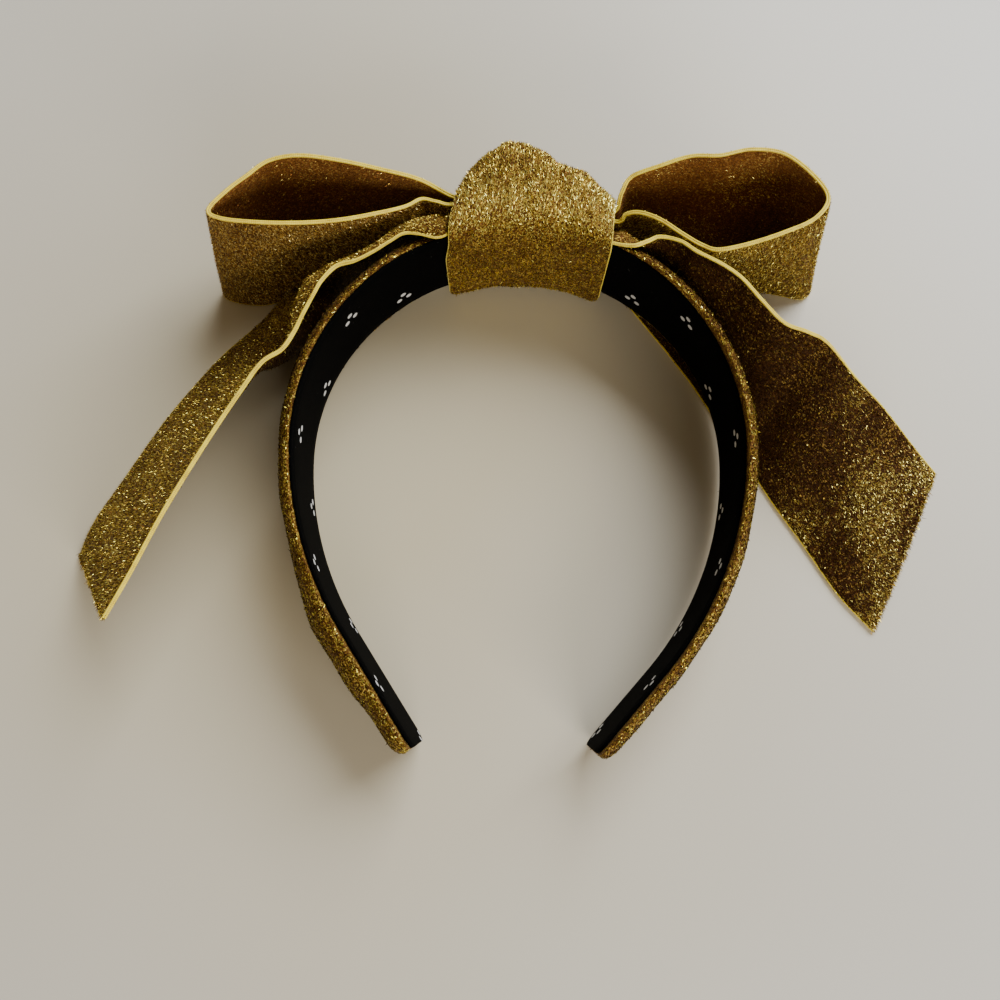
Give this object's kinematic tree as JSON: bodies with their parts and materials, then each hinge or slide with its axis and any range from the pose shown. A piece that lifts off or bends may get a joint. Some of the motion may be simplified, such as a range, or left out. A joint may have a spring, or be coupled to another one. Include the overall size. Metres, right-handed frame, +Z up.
{
  "type": "bow headband",
  "caption": "Padded velvet headband with a dark lining and a wide ribbon tied over its crown into a bow with loops and slant-cut tails, lying on its side",
  "frame": {"origin": "Middle of the outline, on the table the headband lies on", "axes": "+X to the viewer's right, along the line between the tails' ends; +Y from the band's tips towards the crown and the bow; +Z up from the table, across the band's width"},
  "size_m": [0.2702, 0.1924, 0.0497],
  "materials": {
    "pad_velvet": "gold velvet with metallic sparkle",
    "lining": "dark woven lining",
    "ribbon_velvet": "gold velvet ribbon with metallic sparkle and pale edges"
  },
  "bodies": {
    "root": {"band_cover": "pad_velvet", "band_lining": "lining", "bow_knot": "ribbon_velvet", "loop_left": "ribbon_velvet", "loop_right": "ribbon_velvet", "tail_left": "ribbon_velvet", "tail_right": "ribbon_velvet"}
  },
  "joints": []
}
